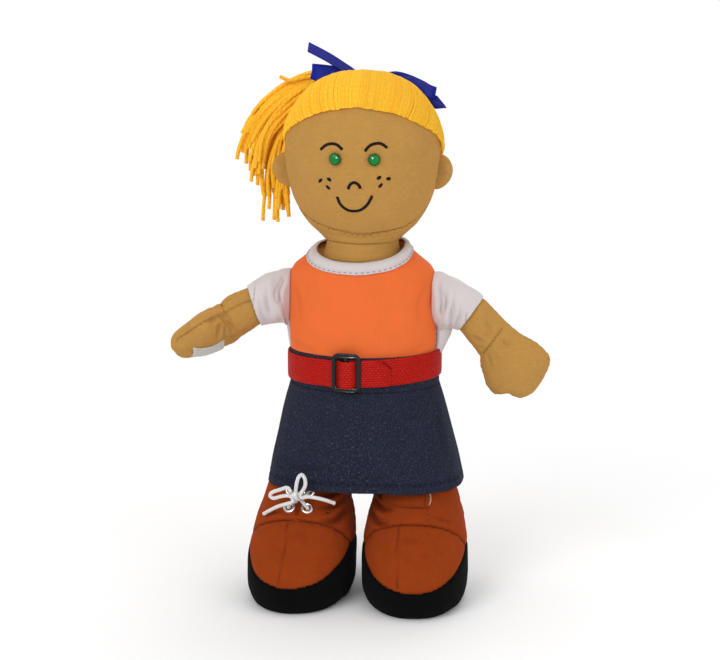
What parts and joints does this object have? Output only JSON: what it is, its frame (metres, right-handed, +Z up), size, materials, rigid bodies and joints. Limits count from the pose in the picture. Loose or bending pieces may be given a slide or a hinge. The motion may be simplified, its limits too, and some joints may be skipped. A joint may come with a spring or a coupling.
{
  "type": "cloth doll",
  "caption": "Standing stuffed cloth doll with turning head, swinging arms, folding elbows, paired hips, belted denim skirt, one lace-up boot and one strap boot",
  "frame": {"origin": "on the floor under the middle of the bounding box, level with the flat soles", "axes": "+Z up from the soles to the crown, -Y the way the doll faces, +X towards its left hand"},
  "size_m": [0.281, 0.1448, 0.4161],
  "materials": {
    "skin_cloth": "matte",
    "orange_jersey": "matte",
    "white_jersey": "matte",
    "denim": "matte",
    "red_webbing": "matte",
    "yellow_yarn": "matte",
    "blue_satin": "satin",
    "rust_suede": "matte",
    "black_felt": "matte",
    "white_lace": "matte",
    "white_loop_tape": "matte",
    "black_plastic": "satin",
    "green_plastic": "gloss",
    "clear_plastic": "satin",
    "steel": "polished"
  },
  "bodies": {
    "torso": {"torso_body": "skin_cloth", "shirt_body": "orange_jersey", "neck_binding": "white_jersey", "skirt": "denim", "skirt_waistband": "denim", "belt_webbing": "red_webbing", "belt_slider": "black_plastic"},
    "neck": {"neck": "skin_cloth"},
    "head": {"head": "skin_cloth", "right_ear": "skin_cloth", "left_ear": "skin_cloth", "right_eye": "green_plastic", "left_eye": "green_plastic", "right_eye_washer": "clear_plastic", "left_eye_washer": "clear_plastic", "hair_cap": "yellow_yarn", "ponytail": "yellow_yarn", "hair_ribbon": "blue_satin"},
    "right_arm": {"right_upper_arm": "skin_cloth", "right_sleeve": "white_jersey"},
    "right_forearm": {"right_hand": "skin_cloth", "right_palm_patch": "white_loop_tape"},
    "left_arm": {"left_upper_arm": "skin_cloth", "left_sleeve": "white_jersey"},
    "left_forearm": {"left_hand": "skin_cloth", "left_palm_patch": "white_loop_tape"},
    "right_leg": {"right_leg": "skin_cloth", "right_boot_sole": "black_felt", "right_boot_toe_cap": "rust_suede", "right_boot_quarter": "rust_suede", "right_boot_tongue": "rust_suede", "eyelet_1": "steel", "eyelet_2": "steel", "eyelet_3": "steel", "eyelet_4": "steel", "lace_knot": "white_lace", "lace_loop_top": "white_lace", "lace_loop_side": "white_lace", "lace_tail_a": "white_lace", "lace_tail_b": "white_lace", "lace_cross_a": "white_lace", "lace_cross_b": "white_lace", "lace_rise_a": "white_lace", "lace_rise_b": "white_lace"},
    "left_leg": {"left_leg": "skin_cloth", "left_boot_sole": "black_felt", "left_boot_toe_cap": "rust_suede", "left_boot_quarter": "rust_suede", "left_boot_strap_patch": "white_loop_tape"},
    "boot_strap": {"left_boot_strap": "rust_suede"}
  },
  "joints": [
    {"name": "neck_turn", "type": "hinge", "parent": "torso", "child": "neck", "pos_m": [0, 0.0153, 0.251], "axis": [0, 0, 1], "range_deg": [-35, 35]},
    {"name": "head_nod", "type": "hinge", "parent": "neck", "child": "head", "pos_m": [0, 0.0153, 0.262], "axis": [1, 0, 0], "range_deg": [-6, 12]},
    {"name": "right_shoulder_swing", "type": "hinge", "parent": "torso", "child": "right_arm", "pos_m": [-0.0558, 0.0153, 0.223], "axis": [0, 0, 1], "range_deg": [-60, 25], "deforming": ["right_sleeve"]},
    {"name": "left_shoulder_swing", "type": "hinge", "parent": "torso", "child": "left_arm", "pos_m": [0.0558, 0.0153, 0.223], "axis": [0, 0, -1], "range_deg": [-40, 45], "deforming": ["left_sleeve"]},
    {"name": "right_elbow_fold", "type": "hinge", "parent": "right_arm", "child": "right_forearm", "pos_m": [-0.09768, 0.00005, 0.19622], "axis": [0.1559, -0.9433, 0.2932], "range_deg": [-50, 50]},
    {"name": "left_elbow_fold", "type": "hinge", "parent": "left_arm", "child": "left_forearm", "pos_m": [0.09787, 0.0153, 0.19243], "axis": [-0.5878, 0, -0.809], "range_deg": [-50, 50]},
    {"name": "right_hip", "type": "hinge", "parent": "torso", "child": "right_leg", "pos_m": [-0.027, 0.0153, 0.1398], "axis": [-1, 0, 0], "range_deg": [-15, 70], "deforming": ["skirt"]},
    {"name": "left_hip", "type": "hinge", "parent": "torso", "child": "left_leg", "pos_m": [0.027, 0.0153, 0.1398], "axis": [-1, 0, 0], "range_deg": [-15, 70]},
    {"name": "boot_strap_flap", "type": "hinge", "parent": "left_leg", "child": "boot_strap", "pos_m": [0.01893, -0.01267, 0.0775], "axis": [0.0314, -0.5996, -0.7997], "range_deg": [0, 110]}
  ],
  "couplings": [
    {"joint": "left_hip", "follows": "right_hip", "ratio": 1}
  ]
}
